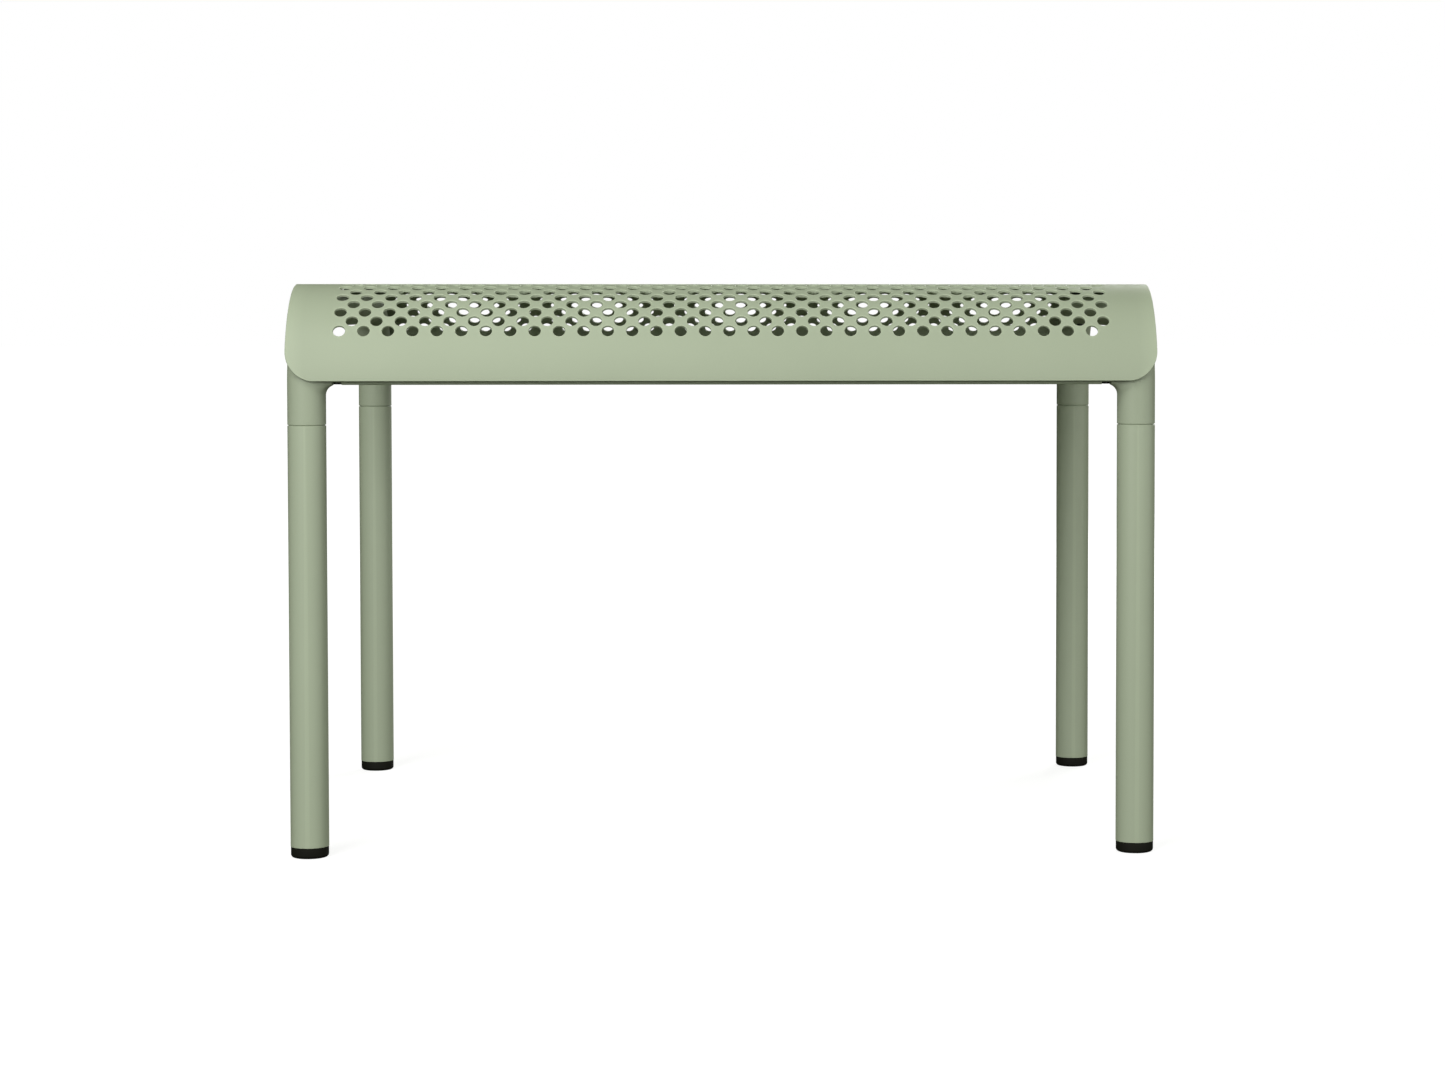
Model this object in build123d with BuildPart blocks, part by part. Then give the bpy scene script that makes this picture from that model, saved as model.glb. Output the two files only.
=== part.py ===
"""Backless bench: a bent perforated steel seat bolted to a tubular steel frame.

Millimetres, +Z up, +X along the bench, the front faces -Y.  The origin is on
the floor under the middle of the seat.
"""

import math
import os

from build123d import *

# ---------------------------------------------------------------- seat sheet
seat_height = 450.0  # floor to the top of the seat
seat_length = 681.0  # along X
seat_depth = 512.0  # along Y, over both bends
sheet_thickness = 2.0
bend_radius = 79.0  # outer radius of the front and back bends
apron_lift = 3.0  # lower edge of the aprons above the lower end of the bend
apron_corner_radius = 24.0  # rounded lower corners of the aprons

hole_diameter = 9.6
hole_pitch = 19.0  # along a row; the rows are half a pitch apart
end_margin = 36.0  # least plain width at each end of the seat
edge_margin = 40.0  # least plain width above the aprons' lower edges

# --------------------------------------------------------------------- frame
tube_diameter = 30.0
tube_wall = 2.0
seat_gap = 2.0  # between the seat sheet and the tubes inside it
collar_height = 31.5  # straight part of a corner casting above its seam
groove_width = 0.8  # visible V-groove at the leg seam
spigot_length = 30.0
spigot_gap = 0.2  # adhesive gap round every spigot
spigot_chamfer = 1.0

rail_width = 16.0
rail_height = 25.0
rail_wall = 1.5
rail_corner = 2.0
rail_lift = 0.0  # underside of the rails above the lower end of the bend
rail_spigot_length = 27.0
arm_reach = 5.6  # casting arm beyond the leg's side
arm_fillet = 7.0  # between a leg and the underside of its arm
neck_length = 7.4  # recess in the arm for the seat screw's head
neck_recess = 2.0

# ---------------------------------------------------------------------- feet
foot_height = 8.5
foot_inset = 0.2  # foot radius under the leg's radius
foot_edge = 2.5  # rounded lower edge
insert_length = 22.0
insert_gap = 0.05
stud_diameter = 8.0
stud_embed = 5.0  # stud inside the foot
stud_rise = 20.0  # stud inside the leg insert

# ----------------------------------------------------------------- fasteners
thread_gap = 0.05  # radial, between a screw and its thread
clearance_gap = 0.2  # radial, between a screw and a plain hole
seat_screw_diameter = 4.0
seat_screw_head = 6.8
seat_screw_head_height = 1.7
seat_nut_width = 7.0
seat_nut_height = 3.2
tube_screw_diameter = 5.0
tube_screw_head = 8.5
tube_screw_head_height = 2.6
tube_screw_inset = 15.0  # from the end of a cross tube
tube_screw_grip = 10.0  # screw beyond the tube's wall
rail_screw_diameter = 4.0
rail_screw_head = 7.6
rail_screw_head_height = 2.2
rail_screw_inset = 13.0
rail_screw_grip = 7.0

# ------------------------------------------------------------ tabs and pads
tab_width = 20.0
tab_thickness = 2.0
tab_top_angle = 63.0  # degrees from the top of the bend
tab_low_angle = 82.0
pad_width = 22.0
pad_length = 50.0
pad_inset = 35.0  # pad's near end from the elbow's end

# ------------------------------------------------------------ derived places
tube_radius = tube_diameter / 2
bend_y = seat_depth / 2 - bend_radius
bend_z = seat_height - bend_radius
apron_z = bend_z + apron_lift
elbow_radius = bend_radius - sheet_thickness - seat_gap - tube_radius
leg_x = seat_length / 2 - tube_radius
leg_y = bend_y + elbow_radius
seam_z = bend_z - collar_height
cross_z = bend_z + elbow_radius
spigot_radius = tube_radius - tube_wall - spigot_gap

rail_bottom = bend_z + rail_lift
rail_top = rail_bottom + rail_height
rail_z = rail_bottom + rail_height / 2
arm_x = leg_x - tube_radius - arm_reach
rail_end_x = arm_x - neck_length
seat_screw_x = (arm_x + rail_end_x) / 2
neck_z = rail_bottom + neck_recess
tab_top = rail_top + tab_thickness

tube_screw_y = bend_y - tube_screw_inset
rail_screw_x = rail_end_x - rail_screw_inset
pad_y = bend_y - pad_inset - pad_length / 2

CORNERS = ("front_left", "front_right", "back_left", "back_right")


def at_corner(piece, corner):
    """Return a front-left piece moved to the named corner of the bench."""
    with BuildPart() as placed:
        if corner == "front_left":
            add(piece)
        elif corner == "front_right":
            mirror(piece, about=Plane.YZ)
        elif corner == "back_left":
            mirror(piece, about=Plane.XZ)
        else:
            add(piece, rotation=(0, 0, 180))
    return placed.part


def save(piece, name):
    """Label a finished piece and write it to its own STEP file."""
    piece.label = name
    export_step(piece, f"parts/{name}.step", write_pcurves=False)


def save_corners(piece, name):
    """Write a front-left piece and its three copies as separate nodes."""
    for corner in CORNERS:
        save(at_corner(piece, corner), f"{name}_{corner}")


def save_group(piece, name):
    """Write four identical fasteners, one at each corner, as one node."""
    with BuildPart() as group:
        for corner in CORNERS:
            add(at_corner(piece, corner))
    save(group.part, name)


# ------------------------------------------------------------ perforation
def perforation_places():
    """Return the locations of all holes of the seat, square to the sheet."""
    if apron_z > bend_z:
        bend_angle = math.acos((apron_z - bend_z) / bend_radius)
    else:
        bend_angle = math.pi / 2
    flat_apron = max(0.0, bend_z - apron_z)
    half_length = bend_y + bend_radius * bend_angle + flat_apron
    row_pitch = hole_pitch / 2
    last_row = int((half_length - edge_margin) / row_pitch)
    holes_per_row = int((seat_length - 2 * end_margin) / hole_pitch)
    places = []
    for row in range(-last_row, last_row + 1):
        stagger = -hole_pitch / 4 if (row + last_row) % 2 == 0 else hole_pitch / 4
        side = 1 if row > 0 else -1
        beyond = max(0.0, abs(row) * row_pitch - bend_y)
        angle = min(beyond / bend_radius, math.pi / 2)
        below = max(0.0, beyond - bend_radius * math.pi / 2)
        normal = Vector(0, side * math.sin(angle), math.cos(angle))
        middle = bend_radius - sheet_thickness / 2
        if beyond > 0:
            y = side * bend_y + normal.Y * middle
            z = bend_z + normal.Z * middle - below
        else:
            y = row * row_pitch
            z = seat_height - sheet_thickness / 2
        for column in range(holes_per_row):
            x = (column - (holes_per_row - 1) / 2) * hole_pitch + stagger
            plane = Plane(origin=(x, y, z), x_dir=(1, 0, 0), z_dir=normal)
            places.append(Location(plane))
    return places


# ------------------------------------------------------------ seat sheet
def make_seat_sheet():
    """Bend the sheet over both long edges, trim and round it, perforate it."""
    skirt_z = min(apron_z, bend_z) - bend_radius
    with BuildPart() as sheet:
        with BuildSketch(Plane.YZ.offset(-seat_length)):
            for radius, mode in (
                (bend_radius, Mode.ADD),
                (bend_radius - sheet_thickness, Mode.SUBTRACT),
            ):
                with BuildLine():
                    Polyline(
                        (0, skirt_z),
                        (0, bend_z + radius),
                        (bend_y, bend_z + radius),
                    )
                    RadiusArc(
                        (bend_y, bend_z + radius),
                        (bend_y + radius, bend_z),
                        radius,
                    )
                    Polyline(
                        (bend_y + radius, bend_z),
                        (bend_y + radius, skirt_z),
                        (0, skirt_z),
                    )
                make_face(mode=mode)
            mirror(about=Plane.YZ)
        extrude(amount=2 * seat_length)

        # outline in front view: straight ends, rounded lower corners
        with BuildSketch(Plane.XZ.offset(-seat_depth)):
            with Locations((0, apron_z)):
                Rectangle(
                    seat_length,
                    2 * (seat_height - apron_z),
                    align=(Align.CENTER, Align.MIN),
                )
            fillet(
                vertices().group_by(Axis.Z)[0],
                apron_corner_radius,
            )
        extrude(amount=2 * seat_depth, mode=Mode.INTERSECT)
        with Locations(*perforation_places()):
            Cylinder(hole_diameter / 2, 3 * sheet_thickness, mode=Mode.SUBTRACT)
    return sheet.part


# ------------------------------------------------------------ seat tab
def make_seat_tab():
    """Tab welded inside the front bend, with a shelf on the casting's arm."""
    outer = bend_radius - sheet_thickness
    inner = outer - tab_thickness
    shelf_y = leg_y - rail_width / 2
    shelf_outer_y = bend_y + math.sqrt(outer**2 - (tab_top - bend_z) ** 2)
    with BuildPart() as tab:
        with BuildSketch(Plane.YZ.offset(-seat_screw_x - tab_width / 2)):
            with BuildLine():
                ends = []
                for radius in (outer, inner):
                    for angle in (tab_top_angle, tab_low_angle):
                        turn = math.radians(angle)
                        ends.append(
                            (
                                -bend_y - radius * math.sin(turn),
                                bend_z + radius * math.cos(turn),
                            )
                        )
                RadiusArc(ends[0], ends[1], -outer)
                Line(ends[1], ends[3])
                RadiusArc(ends[3], ends[2], inner)
                Line(ends[2], ends[0])
            make_face()
            with Locations((-(shelf_y + shelf_outer_y - tab_thickness / 2) / 2, rail_top)):
                Rectangle(
                    shelf_outer_y - tab_thickness / 2 - shelf_y,
                    tab_thickness,
                    align=(Align.CENTER, Align.MIN),
                )
        extrude(amount=tab_width)
        with BuildSketch(Plane.XY.offset(rail_top)):
            with Locations((-seat_screw_x, -leg_y)):
                Circle(seat_screw_diameter / 2 + clearance_gap)
        extrude(amount=tab_thickness, mode=Mode.SUBTRACT)
    return tab.part


# ------------------------------------------------------------ corner casting
def make_corner_casting():
    """Elbow from leg to cross tube with an arm and spigot for the rail."""
    with BuildPart() as casting:
        with BuildLine(Plane.YZ.offset(-leg_x)) as path:
            Line((-leg_y, seam_z), (-leg_y, bend_z))
            RadiusArc((-leg_y, bend_z), (-bend_y, cross_z), elbow_radius)
        with BuildSketch(Plane.XY.offset(seam_z)):
            with Locations((-leg_x, -leg_y)):
                Circle(tube_radius)
        sweep(path=path.line)
        groove = casting.edges().filter_by(GeomType.CIRCLE).group_by(Axis.Z)[0]
        chamfer(groove, groove_width / 2)

        # spigots into the leg and the cross tube
        with BuildSketch(Plane.XY.offset(seam_z)):
            with Locations((-leg_x, -leg_y)):
                Circle(spigot_radius)
        extrude(amount=-spigot_length)
        chamfer(casting.edges().group_by(Axis.Z)[0], spigot_chamfer)
        with BuildSketch(Plane.XZ.offset(bend_y)):
            with Locations((-leg_x, cross_z)):
                Circle(spigot_radius)
        extrude(amount=-spigot_length)
        chamfer(casting.edges().group_by(Axis.Y)[-1], spigot_chamfer)

        # arm towards the rail, with the fillet under it
        with BuildSketch(Plane.YZ.offset(-leg_x)):
            with Locations((-leg_y, rail_z)):
                RectangleRounded(rail_width, rail_height, rail_corner)
        extrude(amount=leg_x - rail_end_x)
        with BuildSketch(Plane.XZ.offset(leg_y - rail_width / 2)):
            with BuildLine():
                side_x = tube_radius - leg_x
                Polyline(
                    (-leg_x, rail_z),
                    (-leg_x, rail_bottom - arm_fillet),
                    (side_x, rail_bottom - arm_fillet),
                )
                RadiusArc(
                    (side_x, rail_bottom - arm_fillet),
                    (side_x + arm_fillet, rail_bottom),
                    arm_fillet,
                )
                Polyline(
                    (side_x + arm_fillet, rail_bottom),
                    (side_x + arm_fillet, rail_z),
                    (-leg_x, rail_z),
                )
            make_face()
        extrude(amount=rail_width)
        with BuildSketch(Plane.XZ.offset(leg_y - rail_width)):
            with Locations((-rail_end_x, rail_bottom - arm_fillet)):
                Rectangle(
                    neck_length,
                    arm_fillet + neck_recess,
                    align=(Align.MAX, Align.MIN),
                )
        extrude(amount=2 * rail_width, mode=Mode.SUBTRACT)

        # spigot into the rail
        inner_width = rail_width - 2 * rail_wall - 2 * spigot_gap
        inner_height = rail_height - 2 * rail_wall - 2 * spigot_gap
        with BuildSketch(Plane.YZ.offset(-rail_end_x)):
            with Locations((-leg_y, rail_z)):
                Rectangle(inner_width, inner_height)
        extrude(amount=rail_spigot_length)

        # holes for the three screws
        with BuildSketch(Plane.XY.offset(rail_bottom)):
            with Locations((-seat_screw_x, -leg_y)):
                Circle(seat_screw_diameter / 2 + clearance_gap)
        extrude(amount=rail_height, mode=Mode.SUBTRACT)
        with BuildSketch(Plane.XY.offset(cross_z - tube_radius)):
            with Locations((-leg_x, -tube_screw_y)):
                Circle(tube_screw_diameter / 2 + thread_gap)
        extrude(amount=tube_wall + tube_screw_grip + clearance_gap, mode=Mode.SUBTRACT)
        with BuildSketch(Plane.XZ.offset(leg_y - rail_width / 2)):
            with Locations((-rail_screw_x, rail_z)):
                Circle(rail_screw_diameter / 2 + thread_gap)
        extrude(amount=rail_wall + rail_screw_grip + clearance_gap, mode=Mode.SUBTRACT)
    return casting.part


# ------------------------------------------------------------ tubes
def make_cross_tube():
    """Tube across the left end, drilled from below for its two screws."""
    with BuildPart() as tube:
        with BuildSketch(Plane.XZ.offset(-bend_y)):
            with Locations((-leg_x, cross_z)):
                Circle(tube_radius)
                Circle(tube_radius - tube_wall, mode=Mode.SUBTRACT)
        extrude(amount=2 * bend_y)
        with BuildSketch(Plane.XY.offset(cross_z)):
            with Locations((-leg_x, -tube_screw_y), (-leg_x, tube_screw_y)):
                Circle(tube_screw_diameter / 2 + clearance_gap)
        extrude(amount=-2 * tube_radius, mode=Mode.SUBTRACT)
    return tube.part


def make_rail():
    """Front rail between two castings, drilled on its inner side."""
    with BuildPart() as rail:
        with BuildSketch(Plane.YZ.offset(-rail_end_x)):
            with Locations((-leg_y, rail_z)):
                RectangleRounded(rail_width, rail_height, rail_corner)
                Rectangle(
                    rail_width - 2 * rail_wall,
                    rail_height - 2 * rail_wall,
                    mode=Mode.SUBTRACT,
                )
        extrude(amount=2 * rail_end_x)
        with BuildSketch(Plane.XZ.offset(leg_y)):
            with Locations((-rail_screw_x, rail_z), (rail_screw_x, rail_z)):
                Circle(rail_screw_diameter / 2 + clearance_gap)
        extrude(amount=-rail_width, mode=Mode.SUBTRACT)
    return rail.part


def make_leg():
    """Round leg tube from the foot to the casting's seam."""
    with BuildPart() as leg:
        with BuildSketch(Plane.XY.offset(foot_height)):
            with Locations((-leg_x, -leg_y)):
                Circle(tube_radius)
                Circle(tube_radius - tube_wall, mode=Mode.SUBTRACT)
        extrude(amount=seam_z - foot_height)
        rim = leg.edges().group_by(Axis.Z)[-1].sort_by(SortBy.RADIUS)[-1]
        chamfer(rim, groove_width / 2)
    return leg.part


# ------------------------------------------------------------ feet
def make_leg_insert():
    """Threaded plug in the lower end of a leg."""
    with BuildPart() as insert:
        with BuildSketch(Plane.XY.offset(foot_height)):
            with Locations((-leg_x, -leg_y)):
                Circle(tube_radius - tube_wall - insert_gap)
                Circle(stud_diameter / 2 + thread_gap, mode=Mode.SUBTRACT)
        extrude(amount=insert_length)
    return insert.part


def make_leg_stud():
    """Threaded stud that holds the foot to the leg insert."""
    with BuildPart() as stud:
        with BuildSketch(Plane.XY.offset(foot_height - stud_embed)):
            with Locations((-leg_x, -leg_y)):
                Circle(stud_diameter / 2)
        extrude(amount=stud_embed + stud_rise)
    return stud.part


def make_foot():
    """Foot with a rounded lower edge and a blind hole for the stud."""
    with BuildPart() as foot:
        with BuildSketch():
            with Locations((-leg_x, -leg_y)):
                Circle(tube_radius - foot_inset)
        extrude(amount=foot_height)
        fillet(foot.edges().group_by(Axis.Z)[0], foot_edge)
        with BuildSketch(Plane.XY.offset(foot_height)):
            with Locations((-leg_x, -leg_y)):
                Circle(stud_diameter / 2 + thread_gap)
        extrude(amount=-stud_embed, mode=Mode.SUBTRACT)
    return foot.part


# ------------------------------------------------------------ seat pad
def make_seat_pad():
    """Saddle pad between a cross tube and the underside of the seat."""
    with BuildPart() as pad:
        with BuildSketch(Plane.XZ.offset(pad_y - pad_length / 2)):
            with Locations((-leg_x, seat_height - sheet_thickness)):
                Rectangle(pad_width, tube_radius, align=(Align.CENTER, Align.MAX))
            with Locations((-leg_x, cross_z)):
                Circle(tube_radius, mode=Mode.SUBTRACT)
                Rectangle(
                    tube_diameter,
                    tube_diameter,
                    align=(Align.CENTER, Align.MAX),
                    mode=Mode.SUBTRACT,
                )
        extrude(amount=pad_length)
    return pad.part


# ------------------------------------------------------------ fasteners
def make_seat_screw():
    """Button-head screw up through a casting's neck and the seat tab."""
    with BuildPart() as screw:
        with BuildSketch(Plane.XY.offset(neck_z)):
            with Locations((-seat_screw_x, -leg_y)):
                Circle(seat_screw_head / 2)
        extrude(amount=-seat_screw_head_height)
        rim = screw.edges().group_by(Axis.Z)[0]
        fillet(rim, seat_screw_head_height / 2)
        with BuildSketch(Plane.XY.offset(neck_z)):
            with Locations((-seat_screw_x, -leg_y)):
                Circle(seat_screw_diameter / 2)
        extrude(amount=tab_top + seat_nut_height + 1.0 - neck_z)
    return screw.part


def make_seat_nut():
    """Hexagon nut on the shelf of a seat tab."""
    with BuildPart() as nut:
        with BuildSketch(Plane.XY.offset(tab_top)):
            with Locations((-seat_screw_x, -leg_y)):
                RegularPolygon(seat_nut_width / 2, 6, major_radius=False)
                Circle(seat_screw_diameter / 2 + thread_gap, mode=Mode.SUBTRACT)
        extrude(amount=seat_nut_height)
    return nut.part


def make_tube_screw():
    """Button-head screw up through a cross tube's wall into the casting."""
    with BuildPart() as screw:
        with BuildSketch(Plane.XY.offset(cross_z - tube_radius)):
            with Locations((-leg_x, -tube_screw_y)):
                Circle(tube_screw_head / 2)
        extrude(amount=-tube_screw_head_height)
        rim = screw.edges().group_by(Axis.Z)[0]
        fillet(rim, tube_screw_head_height / 2)
        with BuildSketch(Plane.XY.offset(cross_z - tube_radius)):
            with Locations((-leg_x, -tube_screw_y)):
                Circle(tube_screw_diameter / 2)
        extrude(amount=tube_wall + tube_screw_grip)
    return screw.part


def make_rail_screw():
    """Button-head screw through a rail's inner side into the casting."""
    with BuildPart() as screw:
        with BuildSketch(Plane.XZ.offset(leg_y - rail_width / 2)):
            with Locations((-rail_screw_x, rail_z)):
                Circle(rail_screw_head / 2)
        extrude(amount=-rail_screw_head_height)
        rim = screw.edges().group_by(Axis.Y)[-1]
        fillet(rim, rail_screw_head_height / 2)
        with BuildSketch(Plane.XZ.offset(leg_y - rail_width / 2)):
            with Locations((-rail_screw_x, rail_z)):
                Circle(rail_screw_diameter / 2)
        extrude(amount=rail_wall + rail_screw_grip)
    return screw.part


# ------------------------------------------------------------ all pieces
os.makedirs("parts", exist_ok=True)

save(make_seat_sheet(), "seat_sheet")
save_corners(make_seat_tab(), "seat_tab")
save_corners(make_corner_casting(), "corner_casting")
save_corners(make_leg(), "leg")
save_corners(make_leg_insert(), "leg_insert")
save_corners(make_leg_stud(), "leg_stud")
save_corners(make_foot(), "foot")
save_corners(make_seat_pad(), "seat_pad")

cross_tube = make_cross_tube()
save(at_corner(cross_tube, "front_left"), "cross_tube_left")
save(at_corner(cross_tube, "front_right"), "cross_tube_right")
rail = make_rail()
save(at_corner(rail, "front_left"), "rail_front")
save(at_corner(rail, "back_left"), "rail_back")

save_group(make_seat_screw(), "seat_screws")
save_group(make_seat_nut(), "seat_nuts")
save_group(make_tube_screw(), "cross_tube_screws")
save_group(make_rail_screw(), "rail_screws")
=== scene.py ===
"""Backless bench with a perforated steel seat: visible pieces, finishes and studio.

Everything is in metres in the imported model's own frame: +X along the bench,
the front faces -Y, +Z up, origin on the floor under the middle of the seat.
"""

import logging
import math
from dataclasses import dataclass, field
from enum import Enum

import bmesh
import bpy
import numpy as np
from bpy.types import ID, Material, Mesh, Node, NodeSocket, NodeTree, Object
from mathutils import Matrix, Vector


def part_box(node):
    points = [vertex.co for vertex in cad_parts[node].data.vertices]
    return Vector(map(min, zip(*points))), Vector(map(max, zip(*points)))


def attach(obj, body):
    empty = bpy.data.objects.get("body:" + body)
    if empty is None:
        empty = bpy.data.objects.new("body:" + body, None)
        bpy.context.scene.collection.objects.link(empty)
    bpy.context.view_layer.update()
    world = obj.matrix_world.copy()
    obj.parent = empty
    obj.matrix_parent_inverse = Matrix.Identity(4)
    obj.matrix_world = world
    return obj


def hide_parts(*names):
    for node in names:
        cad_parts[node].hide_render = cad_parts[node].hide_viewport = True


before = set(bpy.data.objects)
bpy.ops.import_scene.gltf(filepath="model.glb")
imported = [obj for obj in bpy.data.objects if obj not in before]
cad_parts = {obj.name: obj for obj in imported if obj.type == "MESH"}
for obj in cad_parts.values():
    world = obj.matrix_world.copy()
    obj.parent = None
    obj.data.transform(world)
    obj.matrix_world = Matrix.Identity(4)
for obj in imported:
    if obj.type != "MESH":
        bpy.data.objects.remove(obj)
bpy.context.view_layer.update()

MM = 0.001
NEAR = 1e-6  # places closer together than this are the same
EXACT = 1e-9
MICRONS = 1e6  # in a metre
LOG = logging.getLogger("bench")
BODY = "root"
WHITE = (1, 1, 1, 1)


class Corner(Enum):
    """The four corners of the bench, with the signs of their X and Y."""

    FRONT_LEFT = (-1, -1)
    FRONT_RIGHT = (1, -1)
    BACK_LEFT = (-1, 1)
    BACK_RIGHT = (1, 1)

    @property
    def node(self) -> str:
        """Ending of the names of the CAD nodes at this corner."""
        return self.name.lower()


# ------------------------------------------------------------------ meshes
def add_piece(name: str, mesh: Mesh) -> Object:
    """Make an object of a mesh, riding on the bench's only body."""
    piece = bpy.data.objects.new(name, mesh)
    bpy.context.collection.objects.link(piece)
    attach(piece, BODY)
    return piece


@dataclass
class Shape:
    """Vertices and faces of one piece, before it is an object."""

    points: list = field(default_factory=list)
    faces: list = field(default_factory=list)
    sharp_degrees: float = 35.0

    def lathe(self, profile: list, centre: tuple, segments: int) -> None:
        """Append a solid of revolution about a vertical axis.

        Args:
            profile: (radius, z) pairs from one end to the other; a radius of
                zero at an end closes it.
            centre: X and Y of the axis.
            segments: Steps round the axis.
        """
        rings = []
        for radius, z in profile:
            if radius < EXACT:
                rings.append([len(self.points)])
                self.points.append((*centre, z))
                continue
            ring = []
            for i in range(segments):
                a = 2 * math.pi * i / segments
                ring.append(len(self.points))
                x, y = centre[0] + radius * math.cos(a), centre[1] + radius * math.sin(a)
                self.points.append((x, y, z))
            rings.append(ring)
        for low, high in zip(rings, rings[1:]):
            for i in range(segments):
                j = (i + 1) % segments
                if len(low) == 1:
                    self.faces.append((low[0], high[j], high[i]))
                elif len(high) == 1:
                    self.faces.append((low[i], low[j], high[0]))
                else:
                    self.faces.append((low[i], low[j], high[j], high[i]))

    def build(self, name: str) -> Object:
        """Make the object, with its sharp edges kept sharp.

        Args:
            name: Name of the piece.

        Returns:
            The new object.
        """
        mesh = bpy.data.meshes.new(name)
        mesh.from_pydata(self.points, [], self.faces)
        mesh.validate()
        mesh.shade_smooth()
        mesh.set_sharp_from_angle(angle=math.radians(self.sharp_degrees))
        return add_piece(name, mesh)


# --------------------------------------------------------------- node groups
def fill_inputs(tree: NodeTree, made: Node, values: dict) -> None:
    """Set or link the inputs of a node.

    Args:
        tree: Tree that holds the node.
        made: The node.
        values: Input name or index to a value, or to a socket to link.
    """
    for key, value in values.items():
        if isinstance(value, NodeSocket):
            tree.links.new(value, made.inputs[key])
        else:
            made.inputs[key].default_value = value


def add_node(
    tree: NodeTree, kind: str, values: dict | None = None, **settings: object
) -> Node:
    """Add a shader node to a tree.

    Args:
        tree: Material or group tree.
        kind: Node type without the ShaderNode prefix.
        values: Input name or index to a value, or to a socket to link.
        **settings: Properties of the node.

    Returns:
        The new node.
    """
    made = tree.nodes.new(f"ShaderNode{kind}")
    for key, value in settings.items():
        setattr(made, key, value)
    fill_inputs(tree, made, values or {})
    return made


def mix_colours(
    tree: NodeTree, share: object, first: object, second: object
) -> NodeSocket:
    """Return the mix of two colours or colour sockets."""
    made = add_node(tree, "Mix", {0: share, 6: first, 7: second}, data_type="RGBA")
    return made.outputs[2]


def map_range(
    tree: NodeTree, value: object, span: tuple, onto: tuple, **settings: object
) -> NodeSocket:
    """Return a value carried from one span (low, high) onto another."""
    values = {0: value, 1: span[0], 2: span[1], 3: onto[0], 4: onto[1]}
    return add_node(tree, "MapRange", values, **settings).outputs[0]


def empty_tree(owner: ID) -> NodeTree:
    """Return the cleared node tree of a material or a world."""
    owner.use_nodes = True
    owner.node_tree.nodes.clear()
    return owner.node_tree


class Group:
    """A shader node group with named sockets, built once and used by many."""

    def __init__(self, name: str, inputs: dict, outputs: dict) -> None:
        """Start a group tree.

        Args:
            name: Name of the group.
            inputs: Socket name to Float, Color or Vector.
            outputs: The same for what the group puts out.
        """
        self.tree = bpy.data.node_groups.new(name, "ShaderNodeTree")
        for way, sockets in (("INPUT", inputs), ("OUTPUT", outputs)):
            for label, kind in sockets.items():
                self.tree.interface.new_socket(
                    name=label, in_out=way, socket_type=f"NodeSocket{kind}"
                )
        self.inlet = self.tree.nodes.new("NodeGroupInput")
        self.outlet = self.tree.nodes.new("NodeGroupOutput")

    def node(self, kind: str, values: dict, **settings: object) -> Node:
        """Add a node to the group; see add_node."""
        return add_node(self.tree, kind, values, **settings)

    def place(self, tree: NodeTree, values: dict) -> Node:
        """Place the group in a material with its own values.

        Args:
            tree: Material tree.
            values: Input name to a value or to a socket to link.

        Returns:
            The group node.
        """
        made = tree.nodes.new("ShaderNodeGroup")
        made.node_tree = self.tree
        fill_inputs(tree, made, values)
        return made


def make_grain_group() -> Group:
    """Build the grain of a sprayed or moulded surface.

    Returns:
        A group that mixes a fine grain and a coarser peel into a Height, and
        puts out the fine grain alone as Speckle.
    """
    group = Group(
        "surface_grain",
        {"Vector": "Vector", "Grain Scale": "Float", "Peel Scale": "Float", "Peel Share": "Float"},
        {"Height": "Float", "Speckle": "Float"},
    )
    inlet = group.inlet.outputs
    fine = group.node(
        "TexNoise", {"Vector": inlet["Vector"], "Scale": inlet["Grain Scale"], "Detail": 2.0}
    )
    peel = group.node(
        "TexNoise", {"Vector": inlet["Vector"], "Scale": inlet["Peel Scale"], "Detail": 1.0}
    )
    height = group.node("Mix", {0: inlet["Peel Share"], 2: fine.outputs[0], 3: peel.outputs[0]})
    fill_inputs(group.tree, group.outlet, {"Height": height.outputs[0], "Speckle": fine.outputs[0]})
    return group


def make_tone_group() -> Group:
    """Build the slow drift of colour and the paler edges, part wear and part painted highlight.

    Returns:
        A group that drifts between Shade and Base, turns to the paler edge colour where Edge is
        high (wear on sharp edges, painted highlight on the seat's hole lips), and puts out the
        Color.
    """
    speckle_share, drift_span, edge_span = 0.35, (0.35, 0.65), (0.52, 0.60)
    group = Group(
        "tone_wear_and_highlight",
        {
            "Vector": "Vector",
            "Base": "Color",
            "Shade": "Color",
            "Rubbed": "Color",
            "Drift Scale": "Float",
            "Speckle": "Float",
            "Edge": "Float",
            "Rub": "Float",
        },
        {"Color": "Color"},
    )
    inlet = group.inlet.outputs
    drift = group.node(
        "TexNoise", {"Vector": inlet["Vector"], "Scale": inlet["Drift Scale"], "Detail": 3.0}
    )
    both = group.node("Mix", {0: speckle_share, 2: drift.outputs[0], 3: inlet["Speckle"]})
    spread = map_range(group.tree, both.outputs[0], drift_span, (0.0, 1.0))
    toned = mix_colours(group.tree, spread, inlet["Shade"], inlet["Base"])
    # paler colour where Edge is high: wear on sharp edges, painted highlight on the hole lips
    ridge = map_range(group.tree, inlet["Edge"], edge_span, (0.0, 1.0))
    worn_and_highlit = group.node("Math", {0: ridge, 1: inlet["Rub"]}, operation="MULTIPLY")
    rubbed = mix_colours(group.tree, worn_and_highlit.outputs[0], toned, inlet["Rubbed"])
    fill_inputs(group.tree, group.outlet, {"Color": rubbed})
    return group


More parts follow.
